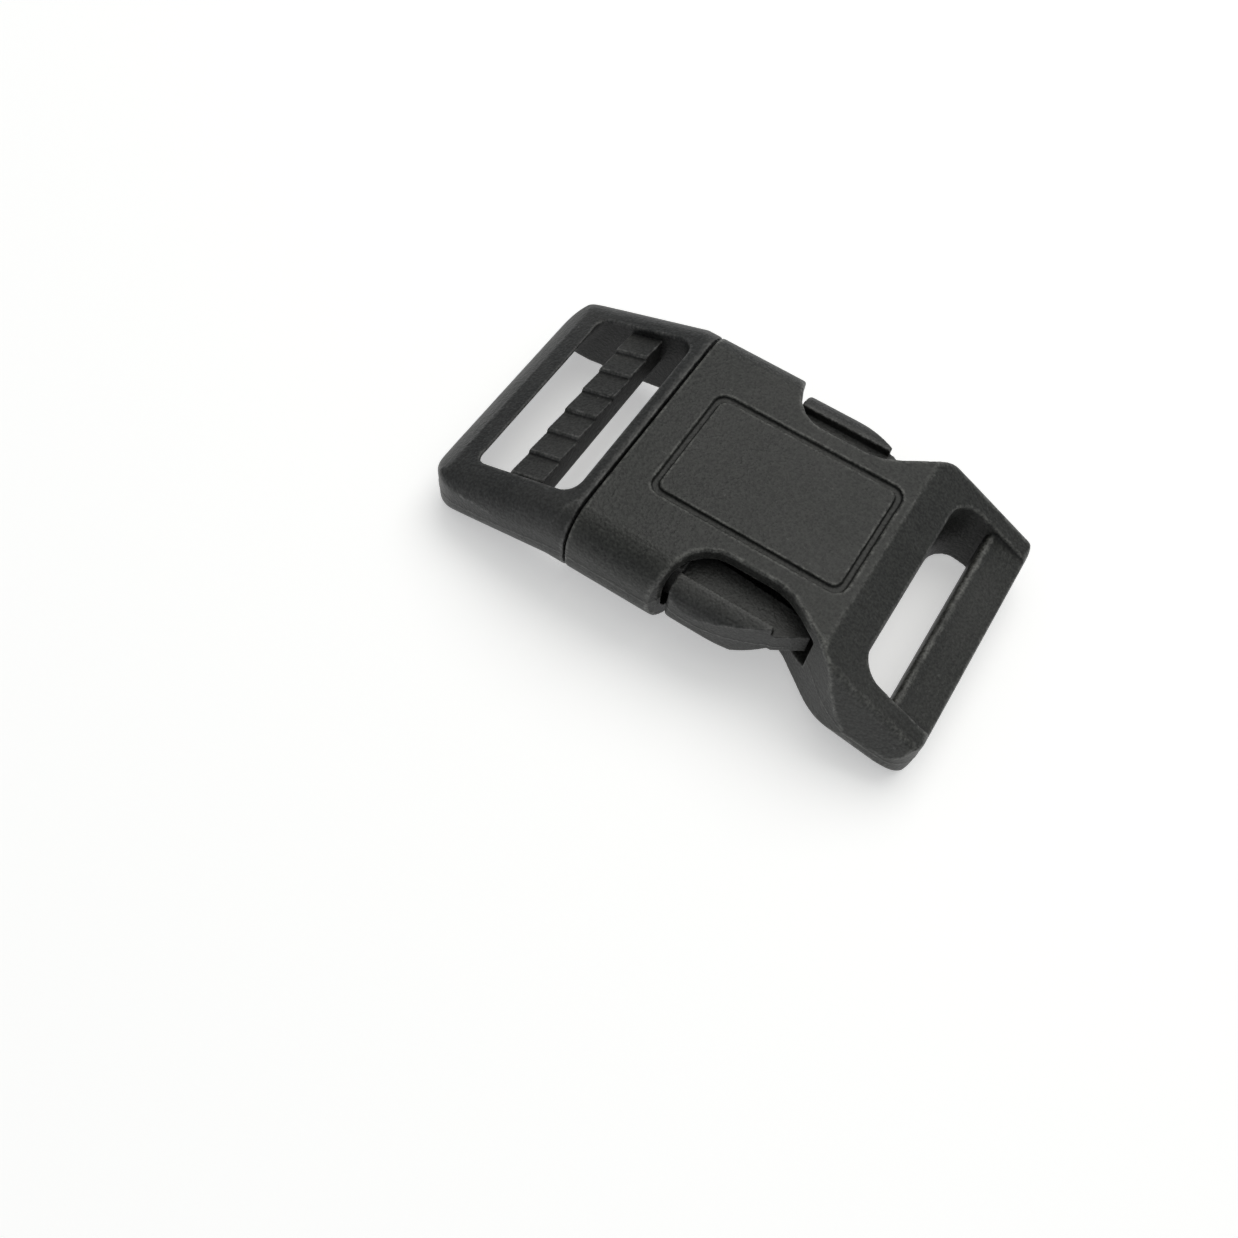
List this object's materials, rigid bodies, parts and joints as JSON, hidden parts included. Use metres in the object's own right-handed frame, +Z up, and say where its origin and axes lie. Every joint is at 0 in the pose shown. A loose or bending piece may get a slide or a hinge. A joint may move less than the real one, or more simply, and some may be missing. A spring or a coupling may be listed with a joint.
{
  "type": "side release buckle",
  "caption": "Contoured side-release buckle: a socket with a strap bar and a plug with a ladder-lock adjuster, two sprung arms and finger grips.",
  "frame": {"origin": "centre of the underside's bounding box, on the surface the buckle lies on", "axes": "+X along the buckle towards the socket's strap bar, +Y towards the left arm, +Z up out of the framed face"},
  "size_m": [0.0638, 0.035, 0.0138],
  "materials": {
    "socket_acetal": "fine spark-eroded grain, black",
    "plug_acetal": "fine spark-eroded grain, black",
    "adjuster_acetal": "plain matt moulding, slightly dusty, black",
    "arm_acetal": "fine grain with a smoother worn edge, black"
  },
  "bodies": {
    "socket": {"socket_top_wall": "socket_acetal", "socket_bottom_wall": "socket_acetal", "socket_bridge": "socket_acetal", "socket_strap_bar": "socket_acetal", "socket_left_side_wall": "socket_acetal", "socket_left_rail": "socket_acetal", "socket_left_guide_rib": "socket_acetal", "socket_right_side_wall": "socket_acetal", "socket_right_rail": "socket_acetal", "socket_right_guide_rib": "socket_acetal"},
    "plug": {"plug_shoulder": "plug_acetal", "plug_end_bar": "plug_acetal", "plug_adjuster_bar": "adjuster_acetal", "plug_guide_tongue": "plug_acetal", "plug_left_rail": "plug_acetal", "plug_left_arm_root": "arm_acetal", "plug_right_rail": "plug_acetal", "plug_right_arm_root": "arm_acetal"},
    "left_arm": {"left_arm_leaf": "arm_acetal", "left_arm_web": "arm_acetal", "left_arm_grip": "arm_acetal", "left_arm_tip": "arm_acetal"},
    "right_arm": {"right_arm_leaf": "arm_acetal", "right_arm_web": "arm_acetal", "right_arm_grip": "arm_acetal", "right_arm_tip": "arm_acetal"}
  },
  "joints": [
    {"name": "plug_slide", "type": "slide", "parent": "socket", "child": "plug", "axis": [-1, 0, 0], "range_m": [0, 0.032], "deforming": ["left_arm_grip", "right_arm_grip"]},
    {"name": "left_arm_squeeze", "type": "hinge", "parent": "plug", "child": "left_arm", "pos_m": [-0.0098, 0.0125, 0.0083], "axis": [0, 0, -1], "range_deg": [0, 9.5], "stiffness_Nm_per_rad": 0.35},
    {"name": "right_arm_squeeze", "type": "hinge", "parent": "plug", "child": "right_arm", "pos_m": [-0.0098, -0.0125, 0.0083], "axis": [0, 0, 1], "range_deg": [0, 9.5], "stiffness_Nm_per_rad": 0.35}
  ]
}
